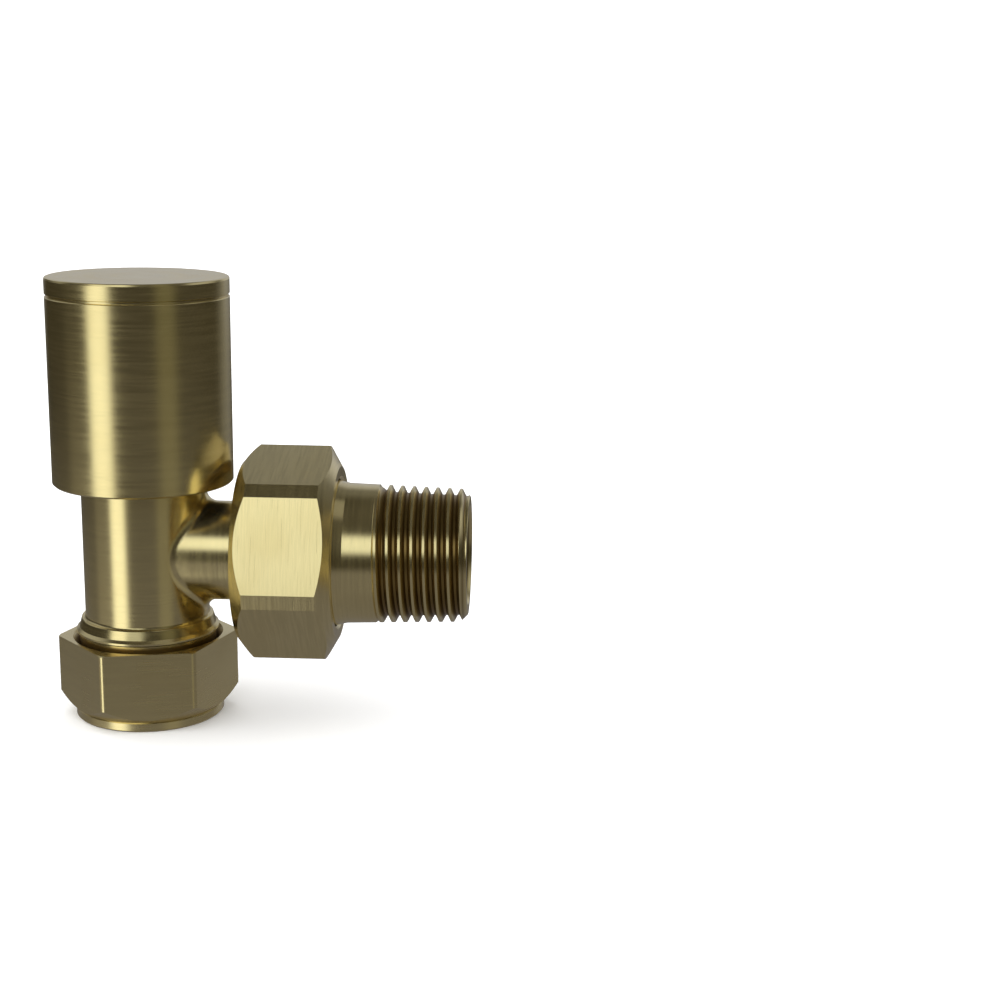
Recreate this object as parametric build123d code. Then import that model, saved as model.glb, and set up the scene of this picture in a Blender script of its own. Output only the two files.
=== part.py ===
from build123d import *
import math
import os

# An angled lockshield radiator valve in brushed brass, 15 mm pipe by 1/2 inch radiator thread.
#
# Frame: millimetres. The origin is the centre of the pipe entry, on the lowest face of the
# compression nut. +Z is the spindle axis, up towards the cover. +X is the union axis, out
# towards the radiator.

# ---- driving dimensions -------------------------------------------------------------------

PIPE_R = 7.5                       # 15 mm copper pipe
PIPE_HOLE_R = PIPE_R + 0.1         # every hole the pipe passes through
THREAD_PITCH = 1.814               # 14 threads per inch, the pitch of G1/2, G3/4 and R1/2
G_HALF_R = 10.45                   # crest of the G1/2 male thread under the compression nut
G_THREE_QUARTER_R = 13.15          # crest of the G3/4 male thread under the union nut
R_HALF_GAUGE_R = 10.4775           # crest of the R1/2 taper thread at its gauge plane
R_HALF_GAUGE_LENGTH = 8.2          # gauge plane to the small end
THREAD_DEPTH = 1.05                # crest to root
THREAD_CLEARANCE = 0.08            # nut bore over male crest, radial
SLIP_CLEARANCE = 0.3               # between curved faces that turn past each other
RUNNING_CLEARANCE = 0.05           # between a shaft and its hole

BRANCH_Z = 26.0                    # height of the union axis
STEM_R = 9.5
BRANCH_R = 7.65
JUNCTION_FILLET = 1.8

# compression nut, from the bottom up
NUT_AF = 24.0
NUT_COLLAR_R = 11.4
NUT_COLLAR_TOP = 1.6
NUT_FLOOR_TOP = 2.6
NUT_TOP = 12.5
NUT_TURN = 12.0                    # degrees that the flats are turned about Z

# valve body, from the bottom up
BODY_LOW = 5.9
SOCKET_LOW = 7.7
PIPE_STOP = 14.4
BODY_LIP_LOW = 13.3
BODY_LIP_R = 10.9
STEM_LOW = 15.6
SEAT_Z = 20.0
SEAT_R = 5.2
CHAMBER_R = 7.4
BONNET_THREAD_LOW = 33.0
BONNET_THREAD_R = 8.0
BODY_TOP = 40.0
WATERWAY_R = 5.6

# union, along X
SPIGOT_LOW = 15.6
SPIGOT_END = 23.3
SOCKET_NOSE_LOW = 17.8
NOSE_R = 8.65
UNION_AF = 29.6
UNION_LAND_R = 16.45               # turned outside that leaves a narrow land at each corner
UNION_NUT_LOW = 15.4
UNION_NUT_LIP = 26.2
UNION_NUT_END = 30.15
UNION_TURN = 17.0                  # degrees that the flats are turned about X
TAIL_FLANGE_R = 12.6
TAIL_COLLAR_R = 11.14              # plain part inside the union nut, flared out from the shank
TAIL_COLLAR_END = 31.6
TAIL_THREAD_LOW = 34.2
TAIL_END = 50.1
TAIL_BORE_R = 7.2
TAIL_KEY_AF = 11.0

# headwork
SPINDLE_THREAD_R = 3.0
SPINDLE_THREAD_LOW = 30.5
THRUST_COLLAR_LOW = 41.6
THRUST_COLLAR_R = 4.65
JOURNAL_LOW = 43.0
JOURNAL_R = 3.5
SEAL_GROOVE_R = 2.6
SEAL_GROOVE_WIDTH = 1.4
LOWER_SEAL_Z = 45.7
UPPER_SEAL_Z = 48.7
CLIP_GROOVE_R = 2.9
KEY_SQUARE_LOW = 52.2
GUIDE_AF = 9.6                     # hexagonal guide that stops the plug from turning
PLUG_LOW = 22.3
BONNET_AF = 17.0
BONNET_HEX_LOW = 42.3
BONNET_NECK_LOW = 47.3
BONNET_NECK_R = 7.0
BONNET_TOP = 51.0
SPINDLE_TOP = 55.2
SPINDLE_SQUARE = 4.8

# cover
COVER_R = 13.65
COVER_WALL = 1.2
COVER_LOW = 36.75
GROOVE_Z = 65.3
GROOVE_WIDTH = 0.36
COVER_TOP = 68.05
CARRIER_LOW = 43.0
CARRIER_TOP = 63.3
WEB_LOW = 58.6
WEB_TOP = 60.6

TAPER = math.degrees(math.atan(1 / 32))


# ---- shared shapes ------------------------------------------------------------------------

def turned(*points):
    """A solid of revolution about Z from (radius, height) points."""
    outline = Polyline(*[(radius, 0, height) for radius, height in points], close=True)
    return revolve(make_face(outline), Axis.Z)


def tube(outer, inner, low, high, edge=0.0):
    """A ring about Z, with its four rims broken by edge."""
    return turned(
        (inner, low + edge), (inner + edge, low), (outer - edge, low), (outer, low + edge),
        (outer, high - edge), (outer - edge, high), (inner + edge, high), (inner, high - edge),
    ) if edge else turned((inner, low), (outer, low), (outer, high), (inner, high))


def rod(radius, low, high, edge=0.0):
    """A solid cylinder about Z, with its two rims broken by edge."""
    return turned(
        (0, low), (radius - edge, low), (radius, low + edge),
        (radius, high - edge), (radius - edge, high), (0, high),
    ) if edge else turned((0, low), (radius, low), (radius, high), (0, high))


def hexagon(across_flats, low, high, turn=0.0):
    """A hexagonal prism about Z, with a flat facing -Y before it is turned."""
    outline = RegularPolygon(across_flats / 2, 6, major_radius=False, rotation=turn)
    return extrude(Pos(0, 0, low) * outline, high - low)


def flat_side_edges(solid, low, high):
    """The straight edges of a prism that run along Z inside the span."""
    edges = solid.edges().filter_by(Axis.Z).filter_by(GeomType.LINE)
    return edges.filter_by(lambda edge: low - 0.01 < edge.center().Z < high + 0.01)


def ring_seal(inner, outer, middle):
    """A round-section rubber ring about Z."""
    section_r = (outer - inner) / 2
    section = Pos(inner + section_r, 0, middle) * Rot(90, 0, 0) * Circle(section_r)
    return revolve(section, Axis.Z)


def thread_groove(radius, low, height, taper=0.0):
    """The helical space between the ridges of a 55 degree male thread."""
    over = 0.25
    half_root = 0.175
    half_top = half_root + (THREAD_DEPTH + over) * math.tan(math.radians(27.5))
    path = Helix(THREAD_PITCH, height, radius, center=(0, 0, low), cone_angle=-taper)
    start = Plane(origin=path @ 0, x_dir=(1, 0, 0), z_dir=path % 0)
    outline = Polyline(
        (-THREAD_DEPTH, -half_root), (over, -half_top), (over, half_top), (-THREAD_DEPTH, half_root),
        close=True,
    )
    return sweep(start * make_face(outline), path=path, is_frenet=True)


def cut_thread(blank, groove):
    """Cuts the groove, starting at the first angle about Z for which the cut takes."""
    least_removed = groove.volume * 0.3
    for start_angle in range(0, 360, 40):
        threaded = blank - Rot(0, 0, start_angle) * groove
        if threaded.is_valid and threaded.volume < blank.volume - least_removed:
            return threaded
    raise RuntimeError("no start angle gave a threaded solid")


def along_x(solid):
    """Stands a part that was built about Z on the union axis, its top towards +X."""
    return Pos(0, 0, BRANCH_Z) * Rot(0, 90, 0) * solid


def write(name, solid, colour):
    solid.label = name
    solid.color = Color(*colour)
    export_step(solid, f"parts/{name}.step")


# ---- body ---------------------------------------------------------------------------------

def inlet_thread():
    """The G1/2 male end that the compression nut runs on, its small end down."""
    length = BODY_LIP_LOW - BODY_LOW
    thread_end = 1.0
    plain = 1.6
    upright = turned(
        (0, 0), (G_HALF_R, 0), (G_HALF_R, length - thread_end), (G_HALF_R - thread_end, length),
        (0, length),
    )
    upright = cut_thread(upright, thread_groove(G_HALF_R, plain, length - plain + 1.0))
    return Pos(0, 0, BODY_LIP_LOW) * Rot(180, 0, 0) * upright


def valve_body():
    """One brass forging: pipe socket, seat, chamber, union spigot and headwork mouth."""
    lip_fillet = 0.4
    flare_low_r = BODY_LIP_R - 0.45
    flare_top_r = BODY_LIP_R - 0.8
    stem = turned(
        (0, BODY_LIP_LOW), (BODY_LIP_R - 0.2, BODY_LIP_LOW), (BODY_LIP_R, BODY_LIP_LOW + 0.2),
        (BODY_LIP_R, BODY_LIP_LOW + 0.5), (flare_low_r, BODY_LIP_LOW + 0.9),
        (flare_top_r, STEM_LOW - 0.1), (flare_top_r - 0.1, STEM_LOW), (STEM_R, STEM_LOW),
        (STEM_R, BODY_TOP - 0.4), (STEM_R - 0.4, BODY_TOP), (0, BODY_TOP),
    )
    corner = stem.edges().filter_by(GeomType.CIRCLE).filter_by(
        lambda edge: abs(edge.center().Z - STEM_LOW) < 0.01 and abs(edge.radius - STEM_R) < 0.01
    )
    stem = fillet(corner, lip_fillet)

    branch = along_x(rod(BRANCH_R, 0, SPIGOT_LOW + 0.5))
    joined = stem + branch
    crease = joined.edges().filter_by(
        lambda edge: edge.geom_type not in (GeomType.CIRCLE, GeomType.LINE)
    )
    joined = fillet(crease, JUNCTION_FILLET)

    shoulder_fillet = 1.4
    shoulder_r = 12.0
    spigot = turned(
        (0, SPIGOT_LOW), (shoulder_r, SPIGOT_LOW), (shoulder_r, SPIGOT_LOW + 0.7),
        (G_THREE_QUARTER_R, SPIGOT_LOW + 1.8), (G_THREE_QUARTER_R, SPIGOT_END - 1.0),
        (G_THREE_QUARTER_R - 1.0, SPIGOT_END), (0, SPIGOT_END),
    )
    groove = thread_groove(G_THREE_QUARTER_R, SPIGOT_LOW + 3.0, SPIGOT_END - SPIGOT_LOW - 2.0)
    spigot = cut_thread(spigot, groove)
    joined = joined + along_x(spigot)
    neck = joined.edges().filter_by(GeomType.CIRCLE).filter_by(
        lambda edge: abs(edge.center().X - SPIGOT_LOW) < 0.01 and abs(edge.radius - BRANCH_R) < 0.01
    )
    joined = fillet(neck, shoulder_fillet)
    joined = joined + inlet_thread()

    inlet_mouth_r = 9.1                # the olive's cone seat, measured at the inlet face
    cone_slope = (inlet_mouth_r - PIPE_HOLE_R) / (SOCKET_LOW - BODY_LOW)
    bore = turned(
        (0, BODY_LOW - 1), (inlet_mouth_r + cone_slope, BODY_LOW - 1), (PIPE_HOLE_R, SOCKET_LOW),
        (PIPE_HOLE_R, PIPE_STOP), (6.2, PIPE_STOP), (6.2, 17.0), (SEAT_R, 17.8), (SEAT_R, SEAT_Z + 1),
        (0, SEAT_Z + 1),
    )
    chamber = turned(
        (6.3, SEAT_Z - 0.8), (CHAMBER_R, SEAT_Z - 0.8), (CHAMBER_R, BONNET_THREAD_LOW),
        (BONNET_THREAD_R, BONNET_THREAD_LOW + 0.6), (BONNET_THREAD_R, BODY_TOP - 0.5),
        (BONNET_THREAD_R + 0.5, BODY_TOP), (BONNET_THREAD_R + 0.5, BODY_TOP + 1), (0, BODY_TOP + 1),
        (0, SEAT_Z), (6.1, SEAT_Z),
    )
    outlet = along_x(turned(
        (0, 0), (WATERWAY_R, 0), (WATERWAY_R, SOCKET_NOSE_LOW), (NOSE_R + 0.1, SOCKET_NOSE_LOW),
        (NOSE_R + 0.1, SPIGOT_END - 0.6), (NOSE_R + 0.7, SPIGOT_END), (NOSE_R + 0.7, SPIGOT_END + 1),
        (0, SPIGOT_END + 1),
    ))
    outlet = outlet - rod(CHAMBER_R + 2, SEAT_Z - 8, SEAT_Z)
    return joined - bore - chamber - outlet


# ---- headwork -----------------------------------------------------------------------------

def headwork_bonnet():
    """The plug guide, spindle bearing and hexagon that screw into the body."""
    thread_r = BONNET_THREAD_R - RUNNING_CLEARANCE
    outside = turned(
        (0, BONNET_THREAD_LOW), (thread_r - 0.6, BONNET_THREAD_LOW), (thread_r, BONNET_THREAD_LOW + 0.6),
        (thread_r, BODY_TOP + 0.8), (9.3, BODY_TOP + 0.8), (9.5, BODY_TOP + 1.0),
        (9.5, BONNET_HEX_LOW - 0.2), (9.3, BONNET_HEX_LOW), (0, BONNET_HEX_LOW),
    )
    hexagon_body = hexagon(BONNET_AF, BONNET_HEX_LOW, BONNET_NECK_LOW)
    hexagon_body = hexagon_body & rod(9.7, BONNET_HEX_LOW, BONNET_NECK_LOW, 0.7)
    neck = rod(BONNET_NECK_R, BONNET_NECK_LOW, BONNET_TOP, 0.4)
    solid = outside + hexagon_body + neck
    guide_top = 43.6
    solid = solid - hexagon(GUIDE_AF, BONNET_THREAD_LOW - 1, guide_top)
    return solid - rod(JOURNAL_R + 0.06, guide_top - 1, BONNET_TOP + 1)


def bonnet_seal_ring():
    """The flat fibre washer between body and bonnet."""
    return tube(9.3, BONNET_THREAD_R + 0.1, BODY_TOP, BODY_TOP + 0.8)


def spindle():
    """Thread, thrust collar, journal with two seal grooves, clip groove and key square."""
    half_seal = SEAL_GROOVE_WIDTH / 2
    clip_low = BONNET_TOP + 0.05
    clip_high = BONNET_TOP + 0.75
    blank_r = SPINDLE_SQUARE * 0.66
    solid = turned(
        (0, SPINDLE_THREAD_LOW), (SPINDLE_THREAD_R - 0.5, SPINDLE_THREAD_LOW),
        (SPINDLE_THREAD_R, SPINDLE_THREAD_LOW + 0.5), (SPINDLE_THREAD_R, THRUST_COLLAR_LOW),
        (THRUST_COLLAR_R, THRUST_COLLAR_LOW), (THRUST_COLLAR_R, JOURNAL_LOW), (JOURNAL_R, JOURNAL_LOW),
        (JOURNAL_R, LOWER_SEAL_Z - half_seal), (SEAL_GROOVE_R, LOWER_SEAL_Z - half_seal),
        (SEAL_GROOVE_R, LOWER_SEAL_Z + half_seal), (JOURNAL_R, LOWER_SEAL_Z + half_seal),
        (JOURNAL_R, UPPER_SEAL_Z - half_seal), (SEAL_GROOVE_R, UPPER_SEAL_Z - half_seal),
        (SEAL_GROOVE_R, UPPER_SEAL_Z + half_seal), (JOURNAL_R, UPPER_SEAL_Z + half_seal),
        (JOURNAL_R, clip_low), (CLIP_GROOVE_R, clip_low), (CLIP_GROOVE_R, clip_high),
        (JOURNAL_R, clip_high), (JOURNAL_R, KEY_SQUARE_LOW), (blank_r, KEY_SQUARE_LOW + 0.2),
        (blank_r, SPINDLE_TOP - 0.4), (blank_r - 0.4, SPINDLE_TOP), (0, SPINDLE_TOP),
    )
    square_height = SPINDLE_TOP - KEY_SQUARE_LOW
    stands = (Align.CENTER, Align.CENTER, Align.MIN)
    blank = Pos(0, 0, KEY_SQUARE_LOW) * Cylinder(JOURNAL_R + 1, square_height, align=stands)
    square = Pos(0, 0, KEY_SQUARE_LOW) * Box(SPINDLE_SQUARE, SPINDLE_SQUARE, square_height, align=stands)
    slot = Pos(0, 0, SPINDLE_TOP) * Box(8, 0.9, 2.0)
    return solid - (blank - square) - slot


def spindle_o_ring(middle):
    """One of the two seals between the journal and the bonnet."""
    return ring_seal(SEAL_GROOVE_R, JOURNAL_R + 0.03, middle)


def spindle_thrust_washer():
    """The slippery washer between the thrust collar and the bonnet."""
    return tube(THRUST_COLLAR_R - RUNNING_CLEARANCE, JOURNAL_R + 0.06, JOURNAL_LOW, JOURNAL_LOW + 0.5)


def spindle_circlip():
    """A sprung clip, open on one side, that holds the spindle down on the bonnet."""
    low = BONNET_TOP + 0.1
    high = low + 0.6
    mouth = Pos(4, 0, (low + high) / 2) * Box(5, 4.4, 2)
    ears = tube(5.2, CLIP_GROOVE_R + RUNNING_CLEARANCE, low, high) - mouth
    return fillet(ears.edges().filter_by(Axis.Z), 0.25)


def valve_plug():
    """The hexagonal nut that rides on the spindle thread and carries the seat washer."""
    head_high = PLUG_LOW + 2.9
    stem_high = 36.5
    screw_hole_r = 1.52
    head = rod(6.9, PLUG_LOW, head_high, 0.4)
    stem = hexagon(GUIDE_AF - 2 * RUNNING_CLEARANCE, head_high, stem_high)
    solid = head + stem
    solid = solid - rod(SPINDLE_THREAD_R + RUNNING_CLEARANCE, 26.0, stem_high + 1)
    return solid - rod(screw_hole_r, PLUG_LOW - 1, head_high + 0.2)


def seat_washer():
    """The rubber disc that closes on the seat."""
    return tube(6.7, 1.6, SEAT_Z, PLUG_LOW, 0.25)


def seat_washer_screw():
    """The pan-head screw that holds the seat washer up against the plug."""
    head_low = SEAT_Z - 1.6
    head = rod(2.9, head_low, SEAT_Z, 0.35)
    slot = Pos(0, 0, head_low) * Box(8, 0.8, 1.4)
    return head + rod(1.5, SEAT_Z, PLUG_LOW + 2.9) - slot


# ---- compression joint --------------------------------------------------------------------

def compression_nut():
    """A 24 mm nut with a round foot, its mouth countersunk almost to the flats."""
    corner_r = 13.86
    corner_fillet = 1.0
    prism = hexagon(NUT_AF, NUT_COLLAR_TOP - 0.2, NUT_TOP, NUT_TURN)
    prism = fillet(flat_side_edges(prism, NUT_COLLAR_TOP, NUT_TOP), corner_fillet)
    skirt = turned(
        (0, NUT_COLLAR_TOP - 0.2), (NUT_COLLAR_R - 0.1, NUT_COLLAR_TOP - 0.2),
        (corner_r, NUT_COLLAR_TOP + 2.3), (corner_r, NUT_TOP - 0.25), (corner_r - 0.4, NUT_TOP),
        (0, NUT_TOP),
    )
    collar = rod(NUT_COLLAR_R, 0, NUT_COLLAR_TOP, 0.25)
    olive_space_r = 9.0
    mouth_r = 11.5
    thread_r = G_HALF_R + THREAD_CLEARANCE
    hollow = turned(
        (0, -1), (PIPE_HOLE_R + 0.3, -1), (PIPE_HOLE_R + 0.3, 0), (PIPE_HOLE_R, 0.3),
        (PIPE_HOLE_R, NUT_FLOOR_TOP), (olive_space_r, 4.0), (olive_space_r, 5.0), (thread_r, 5.6),
        (thread_r, NUT_TOP - 1.2), (mouth_r, NUT_TOP), (mouth_r, NUT_TOP + 1), (0, NUT_TOP + 1),
    )
    return (prism & skirt) + collar - hollow


def compression_olive():
    """The brass ring that is squeezed onto the pipe."""
    return turned(
        (PIPE_HOLE_R, 3.1), (7.9, 3.1), (8.6, 3.8), (8.6, 6.3), (7.8, 7.3), (PIPE_HOLE_R, 7.3),
    )


# ---- union --------------------------------------------------------------------------------

def union_nut():
    """The large nut that draws the tail into the body, chamfered at both ends."""
    prism = hexagon(UNION_AF, UNION_NUT_LOW, UNION_NUT_END, -UNION_TURN)
    near_slope = math.tan(math.radians(40))
    far_slope = math.tan(math.radians(30))
    near_r = 13.9
    far_r = 13.3
    limits = turned(
        (0, UNION_NUT_LOW), (near_r, UNION_NUT_LOW),
        (UNION_LAND_R, UNION_NUT_LOW + (UNION_LAND_R - near_r) * near_slope),
        (UNION_LAND_R, UNION_NUT_END - (UNION_LAND_R - far_r) * far_slope),
        (far_r, UNION_NUT_END), (0, UNION_NUT_END),
    )
    thread_r = G_THREE_QUARTER_R + THREAD_CLEARANCE
    mouth_r = thread_r + 0.35
    hole_r = TAIL_COLLAR_R + SLIP_CLEARANCE
    hollow = turned(
        (0, UNION_NUT_LOW - 1), (mouth_r, UNION_NUT_LOW - 1), (mouth_r, UNION_NUT_LOW),
        (thread_r, UNION_NUT_LOW + 0.7), (thread_r, UNION_NUT_LIP), (hole_r, UNION_NUT_LIP),
        (hole_r, UNION_NUT_END - 0.4), (hole_r + 0.4, UNION_NUT_END), (hole_r + 0.4, UNION_NUT_END + 1),
        (0, UNION_NUT_END + 1),
    )
    return along_x((prism & limits) - hollow)


def tail_radius(station):
    """Radius of the tail's outside, a 1 in 16 taper, at a distance along the union axis."""
    gauge_plane = TAIL_END - R_HALF_GAUGE_LENGTH
    return R_HALF_GAUGE_R + (gauge_plane - station) / 32


def tail_thread():
    """The R1/2 taper thread, with a run-out at its large end and a chamfer at its small end."""
    end_chamfer = 1.1
    large_r = tail_radius(TAIL_THREAD_LOW)
    blank = turned(
        (0, TAIL_THREAD_LOW), (large_r, TAIL_THREAD_LOW),
        (tail_radius(TAIL_END - end_chamfer), TAIL_END - end_chamfer),
        (tail_radius(TAIL_END) - end_chamfer, TAIL_END), (0, TAIL_END),
    )
    groove_low = TAIL_THREAD_LOW + 0.9
    groove = thread_groove(tail_radius(groove_low), groove_low, TAIL_END + 0.9 - groove_low, TAPER)
    run_out_low = groove_low + 0.9
    run_out_end = run_out_low + 1.5
    kept_back = turned(
        (0, groove_low - 2), (large_r + 1, groove_low - 2), (large_r + 1, run_out_low - 0.3),
        (tail_radius(run_out_low), run_out_low), (large_r - THREAD_DEPTH - 0.15, run_out_end),
        (0, run_out_end),
    )
    return cut_thread(blank, groove - kept_back)


def union_tail():
    """Nose with seal groove, flange, plain shank and taper thread for the radiator."""
    nose_low = 18.2
    solid = turned(
        (0, nose_low), (NOSE_R - 0.4, nose_low), (NOSE_R, nose_low + 0.4), (NOSE_R, 20.0), (7.6, 20.0),
        (7.6, 21.6), (NOSE_R, 21.6), (NOSE_R, SPIGOT_END), (TAIL_FLANGE_R - 0.3, SPIGOT_END),
        (TAIL_FLANGE_R, SPIGOT_END + 0.3), (TAIL_FLANGE_R, UNION_NUT_LIP - 0.3),
        (TAIL_FLANGE_R - 0.3, UNION_NUT_LIP), (TAIL_COLLAR_R, UNION_NUT_LIP),
        (TAIL_COLLAR_R, UNION_NUT_END), (tail_radius(TAIL_COLLAR_END), TAIL_COLLAR_END),
        (tail_radius(TAIL_THREAD_LOW), TAIL_THREAD_LOW), (0, TAIL_THREAD_LOW),
    )
    solid = solid + tail_thread()
    key_end = 33.0
    waterway = turned(
        (0, key_end - 1), (TAIL_BORE_R - 0.5, key_end - 1), (TAIL_BORE_R, key_end),
        (TAIL_BORE_R, TAIL_END - 0.5), (TAIL_BORE_R + 0.5, TAIL_END),
        (TAIL_BORE_R + 0.5, TAIL_END + 1), (0, TAIL_END + 1),
    )
    return along_x(solid - hexagon(TAIL_KEY_AF, nose_low - 1, key_end) - waterway)


def tail_o_ring():
    """The seal between the tail's nose and the body."""
    return along_x(ring_seal(7.6, NOSE_R + 0.05, 20.8))


# ---- cover --------------------------------------------------------------------------------

def cover_sleeve():
    """The plain brushed cylinder over the headwork, open at the bottom."""
    inner_r = COVER_R - COVER_WALL
    top = GROOVE_Z - GROOVE_WIDTH / 2
    rim = 0.25
    lip = 0.12
    return turned(
        (inner_r, COVER_LOW + rim), (inner_r + rim, COVER_LOW), (COVER_R - rim, COVER_LOW),
        (COVER_R, COVER_LOW + rim), (COVER_R, top - lip), (COVER_R - lip, top), (inner_r, top),
    )


def cover_top_disc():
    """The separate top disc, with a spigot, a shadow groove and a threaded stud below."""
    sleeve_top = GROOVE_Z - GROOVE_WIDTH / 2
    neck_r = COVER_R - 0.4
    spigot_r = COVER_R - COVER_WALL - RUNNING_CLEARANCE
    face_low = GROOVE_Z + GROOVE_WIDTH / 2
    rim = 0.35
    dish = turned(
        (0, CARRIER_TOP), (spigot_r, CARRIER_TOP), (spigot_r, sleeve_top), (neck_r, sleeve_top),
        (neck_r, face_low), (COVER_R - 0.1, face_low), (COVER_R, face_low + 0.1),
        (COVER_R, COVER_TOP - rim), (COVER_R - 0.1, COVER_TOP - 0.1), (COVER_R - rim, COVER_TOP),
        (0, COVER_TOP),
    )
    return dish + rod(2.0, 56.3, CARRIER_TOP + 0.5, 0.3)


def cover_carrier():
    """The nylon insert that grips the bonnet's hexagon and carries the cover."""
    outer_r = COVER_R - COVER_WALL - RUNNING_CLEARANCE
    grip_r = BONNET_NECK_R + 0.35
    solid = tube(outer_r, grip_r, CARRIER_LOW, WEB_LOW) + tube(outer_r, 2.1, WEB_LOW, WEB_TOP)
    solid = solid + tube(outer_r, 9.5, WEB_TOP, CARRIER_TOP)
    solid = solid - hexagon(BONNET_AF + 0.3, CARRIER_LOW - 1, BONNET_NECK_LOW + 0.4)
    solid = solid - tube(BONNET_NECK_R + 1.15, BONNET_NECK_R, 49.0, 50.2)
    relief = tube(outer_r + 1, outer_r - 0.8, CARRIER_LOW + 5, CARRIER_LOW + 12)
    return solid - relief


def cover_disc_nut():
    """The hexagonal nut on the top disc's stud, under the carrier's web."""
    height = 2.2
    body = hexagon(7.0, WEB_LOW - height, WEB_LOW) & rod(4.0, WEB_LOW - height, WEB_LOW, 0.35)
    return body - rod(2.03, WEB_LOW - height - 1, WEB_LOW + 1)


def cover_grip_ring():
    """The rubber ring inside the carrier that holds the cover on the bonnet's neck."""
    return ring_seal(BONNET_NECK_R + 0.05, BONNET_NECK_R + 1.15, 49.6)


# ---- output -------------------------------------------------------------------------------

BRASS = (0.62, 0.53, 0.30)
RAW_BRASS = (0.78, 0.62, 0.30)
RUBBER = (0.05, 0.05, 0.05)
NYLON = (0.85, 0.85, 0.82)
BLACK_NYLON = (0.06, 0.06, 0.065)
FIBRE = (0.55, 0.25, 0.18)
STEEL = (0.6, 0.6, 0.6)

PIECES = {
    "valve_body": (valve_body, BRASS),
    "headwork_bonnet": (headwork_bonnet, RAW_BRASS),
    "bonnet_seal_ring": (bonnet_seal_ring, FIBRE),
    "spindle": (spindle, RAW_BRASS),
    "spindle_o_ring_lower": (lambda: spindle_o_ring(LOWER_SEAL_Z), RUBBER),
    "spindle_o_ring_upper": (lambda: spindle_o_ring(UPPER_SEAL_Z), RUBBER),
    "spindle_thrust_washer": (spindle_thrust_washer, NYLON),
    "spindle_circlip": (spindle_circlip, STEEL),
    "valve_plug": (valve_plug, RAW_BRASS),
    "seat_washer": (seat_washer, RUBBER),
    "seat_washer_screw": (seat_washer_screw, STEEL),
    "compression_nut": (compression_nut, BRASS),
    "compression_olive": (compression_olive, RAW_BRASS),
    "union_nut": (union_nut, BRASS),
    "union_tail": (union_tail, BRASS),
    "tail_o_ring": (tail_o_ring, RUBBER),
    "cover_sleeve": (cover_sleeve, BRASS),
    "cover_top_disc": (cover_top_disc, BRASS),
    "cover_carrier": (cover_carrier, BLACK_NYLON),
    "cover_disc_nut": (cover_disc_nut, STEEL),
    "cover_grip_ring": (cover_grip_ring, RUBBER),
}

os.makedirs("parts", exist_ok=True)
for piece_name, (make_piece, piece_colour) in PIECES.items():
    write(piece_name, make_piece(), piece_colour)
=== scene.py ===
import math

import bpy
from mathutils import Matrix, Vector


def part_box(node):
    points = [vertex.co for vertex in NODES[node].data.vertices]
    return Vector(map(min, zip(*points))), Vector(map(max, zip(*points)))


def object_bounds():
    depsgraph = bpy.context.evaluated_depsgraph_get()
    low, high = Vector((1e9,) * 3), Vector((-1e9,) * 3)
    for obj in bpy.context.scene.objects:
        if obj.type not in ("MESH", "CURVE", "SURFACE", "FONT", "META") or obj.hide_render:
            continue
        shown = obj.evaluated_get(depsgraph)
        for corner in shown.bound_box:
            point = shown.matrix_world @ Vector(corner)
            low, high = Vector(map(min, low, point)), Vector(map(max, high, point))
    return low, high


# Looks for a brushed-brass lockshield radiator valve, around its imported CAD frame.
# Everything is in metres, in the CAD frame: +Z up the spindle, +X out along the union tail.

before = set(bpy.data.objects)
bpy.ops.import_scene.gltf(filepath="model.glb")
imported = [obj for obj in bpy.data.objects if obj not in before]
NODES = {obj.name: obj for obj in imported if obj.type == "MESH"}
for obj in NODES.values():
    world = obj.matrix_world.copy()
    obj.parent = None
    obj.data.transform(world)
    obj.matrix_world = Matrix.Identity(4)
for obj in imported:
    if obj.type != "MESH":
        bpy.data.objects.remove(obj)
CAD_LOW, CAD_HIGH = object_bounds()

# where the parts' features lie
UNION_Z = sum(corner.z for corner in map(Vector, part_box("union_tail"))) / 2
BRANCH_FROM_X = 0.0050             # on the body, strokes begin to turn round the branch here
BRANCH_FULL_X = 0.0075             # and follow it fully from here on
STEM_FULL_R = 0.0098               # nearer the spindle axis than this they follow the stem alone
BRANCH_FULL_R = 0.0112             # and further out than this the branch alone
TAIL_END_X = CAD_HIGH[0]
GAUGE_PLANE_X = TAIL_END_X - 0.0082
GAUGE_CREST_R = 0.0104775          # crest radius of the R1/2 taper thread at its gauge plane
CREST_SLOPE = -1 / 32              # and its change of radius along +X
NUT_MOUTH_R = 0.01155
BODY_LIP_Z = 0.0134

# brushed brass
BRASS = (0.79, 0.67, 0.345)
AGED = (0.93, 0.90, 0.82)          # share of the brass colour that is left in aged patches
PAINTED_HOLLOW_SHADE = (0.30, 0.24, 0.15)     # and at the bottom of hollows, a painted shade for thread grooves, the nut's mouth and the body under the nut
HOLLOW_FROM = 0.00012              # depth at which a hollow starts to darken with painted shade
HOLLOW_FULL = 0.00075              # depth from which its painted shade is full
STRETCH = 0.035                    # width of a brush stroke over its length
FINE_STROKES = 7600.0              # noise scales, per metre
BROAD_STROKES = 3100.0
SCRATCHES = 5200.0
AGED_PATCHES = 95.0
STROKE_DEPTH = 0.0000042

# other finishes
MACHINED_BRASS = (0.80, 0.62, 0.30, 1.0)
MACHINED_BRASS_AGED = (0.68, 0.50, 0.22, 1.0)
STEEL_DARK = (0.50, 0.50, 0.49, 1.0)
STEEL_LIGHT = (0.66, 0.66, 0.65, 1.0)
TOOL_RINGS = 5200.0
TOOL_RING_DEPTH = 0.00003

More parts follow.
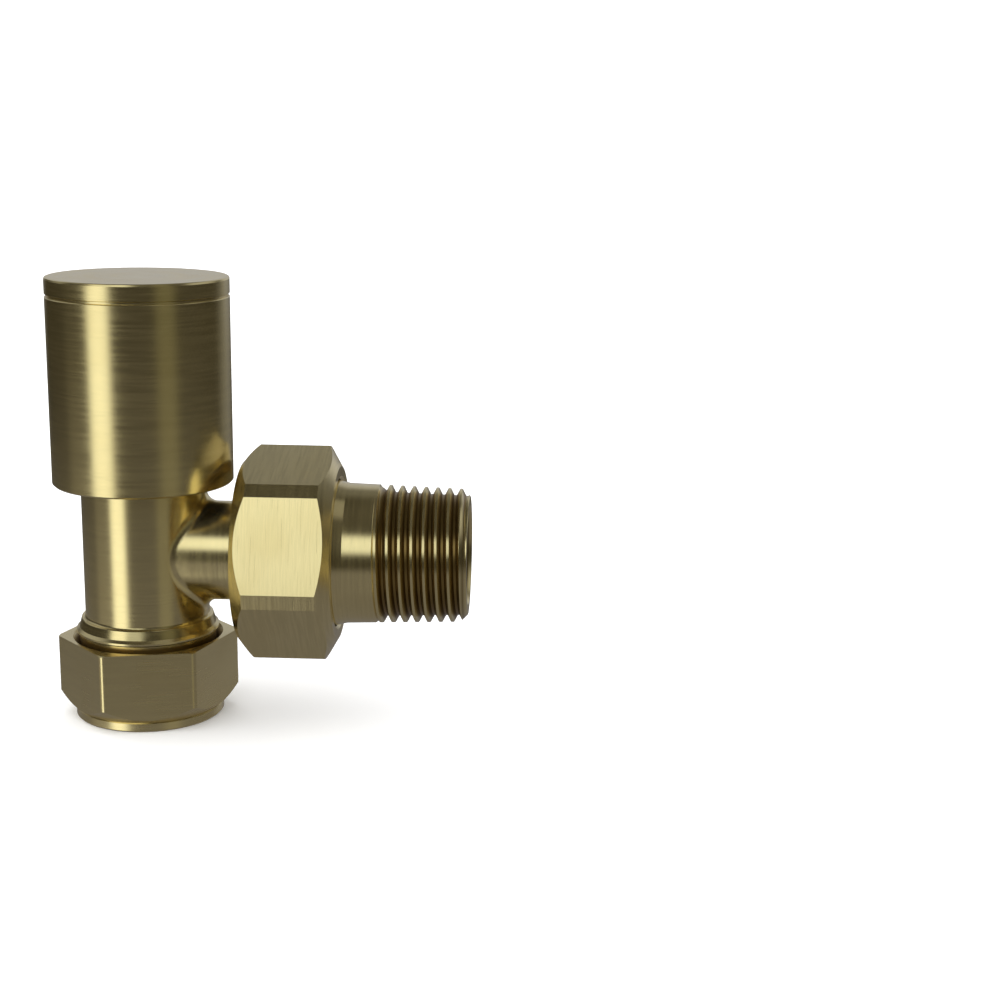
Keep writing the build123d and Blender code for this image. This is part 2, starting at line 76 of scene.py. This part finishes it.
# floor and sky
FLOOR_HALF_WIDTH = 6.0
FLOOR_WHITE = (0.93, 0.93, 0.93, 1.0)
FLOOR_LIGHT = 1.75                 # plain white light that everything but mirrored rays sees
SWEEP = (0.19, 0.182, 0.19, 1.0)   # mirrored below the horizon
DARK_ROOM = (0.025, 0.020, 0.008, 1.0)
SWEEP_EDGE = (-21.0, -7.0)         # degrees of elevation between which one gives way to the other
SOFT_BOXES = [
    # azimuth, half width, low, high, blur in degrees, then strength and colour
    (-38.0, 14.0, -50.0, 36.0, 5.0, 1.26, (1.0, 1.02, 0.98)),
    (-72.0, 16.0, -60.0, -10.0, 8.0, 0.12, (1.0, 0.96, 0.85)),
    (-10.0, 13.0, 13.0, 41.0, 6.0, 1.22, (0.97, 1.02, 1.03)),
    (47.0, 12.0, -60.0, 50.0, 6.0, 0.10, (1.0, 0.97, 0.62)),
    (108.0, 24.0, 16.0, 60.0, 9.0, 0.42, (0.97, 1.0, 1.08)),
    (-116.0, 22.0, 16.0, 60.0, 9.0, 0.36, (0.97, 1.0, 1.08)),
    (148.0, 16.0, -24.0, 10.0, 8.0, 0.11, (0.97, 1.0, 1.15)),
    (180.0, 36.0, -4.0, 34.0, 9.0, 0.42, (0.96, 1.0, 1.15)),
    (180.0, 36.0, 34.0, 60.0, 10.0, 0.10, (0.97, 1.0, 1.10)),
    (90.0, 60.0, 66.0, 82.0, 6.0, 0.25, (1.0, 1.0, 1.0)),
]

# camera
CAMERA_PLACE = (0.06279, -0.25632, 0.09317)
CAMERA_YAW = -0.0300
CAMERA_PITCH = -0.2251
CAMERA_ROLL = 0.0147
LENS_MM = 61.67

# ---- node helpers --------------------------------------------------------------------------


class Graph:
    """The nodes of a material or world, with short calls for those that the looks are made of."""

    def __init__(self, owner):
        self.owner = owner
        owner.use_nodes = True
        self.tree = owner.node_tree
        self.tree.nodes.clear()
        coordinates = self.node("ShaderNodeTexCoord")
        self.place = coordinates.outputs["Object"]
        self.direction = coordinates.outputs["Generated"]

    def node(self, kind, **settings):
        made = self.tree.nodes.new(kind)
        for key, value in settings.items():
            setattr(made, key, value)
        return made

    def feed(self, socket, value):
        if isinstance(value, bpy.types.NodeSocket):
            self.tree.links.new(value, socket)
        elif value is not None:
            socket.default_value = value

    def math(self, operation, a, b=0.0, c=0.0):
        made = self.node("ShaderNodeMath", operation=operation)
        for socket, value in zip(made.inputs, (a, b, c)):
            self.feed(socket, value)
        return made.outputs[0]

    def length(self, vector):
        made = self.node("ShaderNodeVectorMath", operation="LENGTH")
        self.feed(made.inputs[0], vector)
        return made.outputs["Value"]

    def move(self, vector, offset):
        made = self.node("ShaderNodeVectorMath", operation="ADD")
        self.feed(made.inputs[0], vector)
        self.feed(made.inputs[1], offset)
        return made.outputs["Vector"]

    def split(self, vector):
        made = self.node("ShaderNodeSeparateXYZ")
        self.feed(made.inputs[0], vector)
        return made.outputs[0], made.outputs[1], made.outputs[2]

    def join(self, x, y, z):
        made = self.node("ShaderNodeCombineXYZ")
        for socket, value in zip(made.inputs, (x, y, z)):
            self.feed(socket, value)
        return made.outputs[0]

    def noise(self, where, scale, detail=2.0, roughness=0.5):
        made = self.node("ShaderNodeTexNoise", noise_dimensions="3D")
        self.feed(made.inputs["Vector"], where)
        made.inputs["Scale"].default_value = scale
        made.inputs["Detail"].default_value = detail
        made.inputs["Roughness"].default_value = roughness
        return made.outputs["Fac"]

    def ramp(self, value, low, high, start=0.0, end=1.0):
        """Start at low, end at high, and a smooth step between them."""
        made = self.node("ShaderNodeMapRange", interpolation_type="SMOOTHSTEP")
        self.feed(made.inputs["Value"], value)
        for name, number in (("From Min", low), ("From Max", high), ("To Min", start), ("To Max", end)):
            made.inputs[name].default_value = number
        return made.outputs["Result"]

    def mix(self, factor, a, b, kind="RGBA"):
        made = self.node("ShaderNodeMix", data_type=kind)
        first, second, result = {"RGBA": (6, 7, 2), "VECTOR": (4, 5, 1)}[kind]
        self.feed(made.inputs[0], factor)
        self.feed(made.inputs[first], a)
        self.feed(made.inputs[second], b)
        return made.outputs[result]

    def add_light(self, total, level, colour):
        """The total colour with level times another colour on top of it."""
        made = self.node("ShaderNodeMix", data_type="RGBA", blend_type="ADD", clamp_factor=False)
        self.feed(made.inputs[0], level)
        self.feed(made.inputs[6], total)
        self.feed(made.inputs[7], colour)
        return made.outputs[2]

    def bump(self, height, distance, strength=1.0):
        made = self.node("ShaderNodeBump")
        made.inputs["Strength"].default_value = strength
        made.inputs["Distance"].default_value = distance
        self.feed(made.inputs["Height"], height)
        return made.outputs["Normal"]

    def surface(self, colour, roughness, metallic=0.0, normal=None, tangent=None, **fixed):
        shader = self.node("ShaderNodeBsdfPrincipled")
        self.feed(shader.inputs["Base Color"], colour)
        self.feed(shader.inputs["Roughness"], roughness)
        self.feed(shader.inputs["Normal"], normal)
        self.feed(shader.inputs["Tangent"], tangent)
        shader.inputs["Metallic"].default_value = metallic
        for name, value in fixed.items():
            shader.inputs[name.replace("_", " ")].default_value = value
        output = self.node("ShaderNodeOutputMaterial")
        self.tree.links.new(shader.outputs[0], output.inputs["Surface"])
        return self.owner


def new_graph(material_name):
    return Graph(bpy.data.materials.new(material_name))


def scaled(colour, shares):
    """A colour with each of its three channels scaled, as RGBA."""
    return tuple(channel * share for channel, share in zip(colour, shares)) + (1.0,)


def brush_space(graph, layout):
    """Where a point lies across the brush strokes and along them, in metres, and the brushing's
    axis. Strokes run round the spindle, round it on a flat disc too, round the union, or round
    whichever of the two the body follows."""
    x, y, z = graph.split(graph.place)
    short_x = graph.math("MULTIPLY", x, STRETCH)
    short_y = graph.math("MULTIPLY", y, STRETCH)
    short_z = graph.math("MULTIPLY", graph.math("SUBTRACT", z, UNION_Z), STRETCH)
    reach = graph.length(graph.join(x, y, 0.0))
    round_spindle = graph.join(short_x, short_y, z)
    round_union = graph.join(x, short_y, short_z)
    up = (0.0, 0.0, 1.0)
    out = (1.0, 0.0, 0.0)
    if layout == "spindle":
        return round_spindle, up
    if layout == "union":
        return round_union, out
    if layout == "disc":
        return graph.join(short_x, short_y, graph.math("ADD", reach, z)), up
    along = graph.ramp(x, BRANCH_FROM_X, BRANCH_FULL_X)
    on_branch = graph.math("MULTIPLY", along, graph.ramp(reach, STEM_FULL_R, BRANCH_FULL_R))
    return (
        graph.mix(on_branch, round_spindle, round_union, "VECTOR"),
        graph.mix(on_branch, up, out, "VECTOR"),
    )


def thread_depth(graph):
    """How far a point of the tail lies below the crests of its taper thread, in metres.
    It falls back to nothing at the tail's end face, which is left bright."""
    x, y, z = graph.split(graph.place)
    side = graph.math("SUBTRACT", z, UNION_Z)
    reach = graph.length(graph.join(0.0, y, side))
    from_gauge = graph.math("SUBTRACT", x, GAUGE_PLANE_X)
    crest = graph.math("MULTIPLY_ADD", from_gauge, CREST_SLOPE, GAUGE_CREST_R)
    from_end = graph.math("SUBTRACT", TAIL_END_X, x)
    return graph.math("MINIMUM", graph.math("SUBTRACT", crest, reach), from_end)


def nut_depth(graph):
    """How far a point of the compression nut lies inside the rim of its mouth, in metres."""
    x, y, z = graph.split(graph.place)
    return graph.math("SUBTRACT", NUT_MOUTH_R, graph.length(graph.join(x, y, 0.0)))


def body_depth(graph):
    """How far a point of the body lies below its lip, where the compression nut hides it."""
    x, y, z = graph.split(graph.place)
    return graph.math("SUBTRACT", BODY_LIP_Z, z)


def brushed_brass(name, layout, grain=1.0, rough=0.215, seed=0.0, depth=None):
    """Satin brass: fine strokes round the part, slow colour drift, a few deeper scratches.
    Where depth is given, hollows get painted shade and go dull from HOLLOW_FROM to HOLLOW_FULL."""
    graph = new_graph(name)
    strokes, axis = brush_space(graph, layout)
    moved = graph.move(strokes, (seed, seed * 0.7, seed * 0.3))
    fine = graph.noise(moved, FINE_STROKES, 2.0, 0.55)
    broad = graph.noise(moved, BROAD_STROKES, 1.0, 0.5)
    drift = graph.noise(graph.place, AGED_PATCHES, 2.0)
    height = graph.math("ADD", graph.math("MULTIPLY", fine, 0.45), graph.math("MULTIPLY", broad, 0.55))
    scratch = graph.ramp(graph.noise(moved, SCRATCHES, 0.0, 0.5), 0.70, 0.80)
    height = graph.math("SUBTRACT", height, graph.math("MULTIPLY", scratch, 0.8))
    normal = graph.bump(height, STROKE_DEPTH * grain)
    dark = scaled(BRASS, (1.0 - 0.07 * grain,) * 3)
    light = scaled(BRASS, (1.0 + 0.05 * grain,) * 3)
    stroke_colour = graph.mix(graph.ramp(height, 0.38, 0.62), dark, light)
    colour = graph.mix(graph.ramp(drift, 0.40, 0.75, 0.0, 0.5), stroke_colour, scaled(BRASS, AGED))
    stroke_roughness = graph.ramp(broad, 0.30, 0.70, rough - 0.02, rough + 0.02)
    roughness = graph.math("ADD", stroke_roughness, graph.ramp(drift, 0.3, 0.7, 0.0, 0.02))
    if depth is not None:
        # painted shade: deeper points of hollows are darkened to stand in for the shade in thread
        # grooves, inside the nut's mouth and on the body under the nut
        hollow = graph.ramp(depth(graph), HOLLOW_FROM, HOLLOW_FULL)
        colour = graph.mix(hollow, colour, scaled(BRASS, PAINTED_HOLLOW_SHADE))
        roughness = graph.math("ADD", roughness, graph.math("MULTIPLY", hollow, 0.10))
    return graph.surface(colour, roughness, metallic=1.0, normal=normal, tangent=axis, Anisotropic=0.15)


def turned_metal(graph, colour, rings, axis, smoothest, roughest, anisotropy):
    """Bare metal straight from the lathe, with faint tool rings."""
    return graph.surface(
        colour, graph.ramp(rings, 0.3, 0.7, smoothest, roughest), metallic=1.0,
        normal=graph.bump(rings, TOOL_RING_DEPTH, 0.5), tangent=axis, Anisotropic=anisotropy,
    )


def machined_brass(name):
    """Plain turned brass, yellower than the finished outside, with slow patches."""
    graph = new_graph(name)
    strokes, axis = brush_space(graph, "spindle")
    rings = graph.noise(strokes, TOOL_RINGS)
    patches = graph.ramp(graph.noise(graph.place, 160.0), 0.35, 0.7)
    colour = graph.mix(patches, MACHINED_BRASS, MACHINED_BRASS_AGED)
    return turned_metal(graph, colour, rings, axis, 0.22, 0.34, 0.4)


def turned_steel(name):
    graph = new_graph(name)
    strokes, axis = brush_space(graph, "spindle")
    rings = graph.noise(strokes, TOOL_RINGS)
    colour = graph.mix(graph.ramp(rings, 0.3, 0.7), STEEL_DARK, STEEL_LIGHT)
    return turned_metal(graph, colour, rings, axis, 0.24, 0.36, 0.3)


def moulded(name, colour, rough, speck_scale, depth):
    """Rubber, nylon or fibre: a fine moulded skin with slow mottling."""
    graph = new_graph(name)
    speck = graph.noise(graph.place, speck_scale, 3.0, 0.6)
    mottle = graph.ramp(graph.noise(graph.place, 220.0), 0.35, 0.65)
    tone = graph.mix(mottle, scaled(colour, (0.8, 0.8, 0.8)), colour + (1.0,))
    return graph.surface(
        tone, graph.ramp(speck, 0.3, 0.7, rough - 0.06, rough + 0.06),
        normal=graph.bump(speck, depth, 0.6),
    )


# ---- materials on the CAD nodes ------------------------------------------------------------

def paint(node_names, material):
    for node_name in node_names:
        slots = NODES[node_name].data.materials
        slots.clear()
        slots.append(material)


paint(["cover_sleeve"], brushed_brass("brass_cover", "spindle", grain=0.45))
paint(["cover_top_disc"], brushed_brass("brass_cover_disc", "disc", grain=0.45, seed=3.1))
paint(["valve_body"], brushed_brass("brass_body", "body", grain=0.45, seed=1.7, depth=body_depth))
paint(
    ["compression_nut"],
    brushed_brass("brass_pipe_nut", "spindle", grain=0.4, rough=0.24, seed=5.3, depth=nut_depth),
)
paint(["union_nut"], brushed_brass("brass_union_nut", "union", grain=0.9, seed=7.9))
paint(
    ["union_tail"],
    brushed_brass("brass_tail", "union", grain=0.6, rough=0.20, seed=2.3, depth=thread_depth),
)
paint(
    ["headwork_bonnet", "spindle", "valve_plug", "compression_olive"], machined_brass("brass_machined")
)
paint(["spindle_circlip", "seat_washer_screw", "cover_disc_nut"], turned_steel("steel_turned"))
paint(
    ["spindle_o_ring_lower", "spindle_o_ring_upper", "seat_washer", "tail_o_ring", "cover_grip_ring"],
    moulded("rubber_black", (0.022, 0.022, 0.024), 0.52, 9000.0, 0.00003),
)
paint(["cover_carrier"], moulded("nylon_black", (0.026, 0.026, 0.028), 0.42, 7000.0, 0.00002))
paint(["spindle_thrust_washer"], moulded("nylon_washer", (0.56, 0.54, 0.49), 0.36, 7000.0, 0.00002))
paint(["bonnet_seal_ring"], moulded("fibre_red", (0.28, 0.08, 0.05), 0.7, 5000.0, 0.00005))


# ---- floor, light and camera ---------------------------------------------------------------

def pale_floor():
    half = FLOOR_HALF_WIDTH
    mesh = bpy.data.meshes.new("floor")
    corners = [(-half, -half, 0.0), (half, -half, 0.0), (half, half, 0.0), (-half, half, 0.0)]
    mesh.from_pydata(corners, [], [(0, 1, 2, 3)])
    floor = bpy.data.objects.new("floor", mesh)
    bpy.context.scene.collection.objects.link(floor)
    mesh.materials.append(new_graph("floor_white").surface(FLOOR_WHITE, 0.9))
    floor.visible_glossy = False


def soft_box(graph, azimuth, elevation, centre, half_width, low, high, blur):
    """1 inside a box given in degrees of azimuth (0 is -Y, 90 is +X) and elevation, 0 outside."""
    turn = graph.math("SUBTRACT", azimuth, math.radians(centre))
    turn = graph.math("WRAP", turn, math.pi, -math.pi)
    away = graph.math("ABSOLUTE", turn)
    edge, bottom, top, rim = (math.radians(angle) for angle in (half_width, low, high, blur))
    across = graph.ramp(away, edge - rim, edge + rim, 1.0, 0.0)
    over = graph.ramp(elevation, bottom - rim, bottom + rim)
    under = graph.ramp(elevation, top - rim, top + rim, 1.0, 0.0)
    return graph.math("MULTIPLY", across, graph.math("MULTIPLY", over, under))


def mirrored_room(graph):
    """The colour that mirrored rays meet: a pale sweep below, a dark room above, soft boxes."""
    x, y, z = graph.split(graph.direction)
    azimuth = graph.math("ARCTAN2", x, graph.math("MULTIPLY", y, -1.0))
    elevation = graph.math("ARCSINE", z)
    above = graph.ramp(elevation, *map(math.radians, SWEEP_EDGE))
    total = graph.mix(above, SWEEP, DARK_ROOM)
    for *shape, strength, tint in SOFT_BOXES:
        level = graph.math("MULTIPLY", soft_box(graph, azimuth, elevation, *shape), strength)
        total = graph.add_light(total, level, tint + (1.0,))
    return total


def studio_world():
    """A sky that shows soft boxes to mirrored rays and plain white light to all others."""
    world = bpy.data.worlds.new("studio")
    bpy.context.scene.world = world
    graph = Graph(world)
    mirrored = graph.node("ShaderNodeBackground")
    graph.feed(mirrored.inputs["Color"], mirrored_room(graph))
    plain = graph.node("ShaderNodeBackground")
    plain.inputs["Color"].default_value = (1.0, 1.0, 1.0, 1.0)
    plain.inputs["Strength"].default_value = FLOOR_LIGHT
    choose = graph.node("ShaderNodeMixShader")
    graph.feed(choose.inputs[0], graph.node("ShaderNodeLightPath").outputs["Is Glossy Ray"])
    graph.feed(choose.inputs[1], plain.outputs[0])
    graph.feed(choose.inputs[2], mirrored.outputs[0])
    output = graph.node("ShaderNodeOutputWorld")
    graph.feed(output.inputs["Surface"], choose.outputs[0])


def camera():
    """The photograph's viewpoint: a little to the union's side, looking down by about 13 degrees."""
    data = bpy.data.cameras.new("camera")
    data.sensor_width = 36.0
    data.lens = LENS_MM
    data.clip_start = 0.01
    made = bpy.data.objects.new("camera", data)
    bpy.context.scene.collection.objects.link(made)
    level = math.cos(CAMERA_PITCH)
    ahead = Vector((
        math.sin(CAMERA_YAW) * level, math.cos(CAMERA_YAW) * level, math.sin(CAMERA_PITCH)
    ))
    level_right = Vector((math.cos(CAMERA_YAW), -math.sin(CAMERA_YAW), 0.0))
    level_up = level_right.cross(ahead)
    right = level_right * math.cos(CAMERA_ROLL) + level_up * math.sin(CAMERA_ROLL)
    up = level_up * math.cos(CAMERA_ROLL) - level_right * math.sin(CAMERA_ROLL)
    turn = Matrix((right, up, -ahead)).transposed()
    made.matrix_world = Matrix.Translation(CAMERA_PLACE) @ turn.to_4x4()
    bpy.context.scene.camera = made


pale_floor()
studio_world()
camera()
bpy.context.scene.view_settings.view_transform = "Standard"
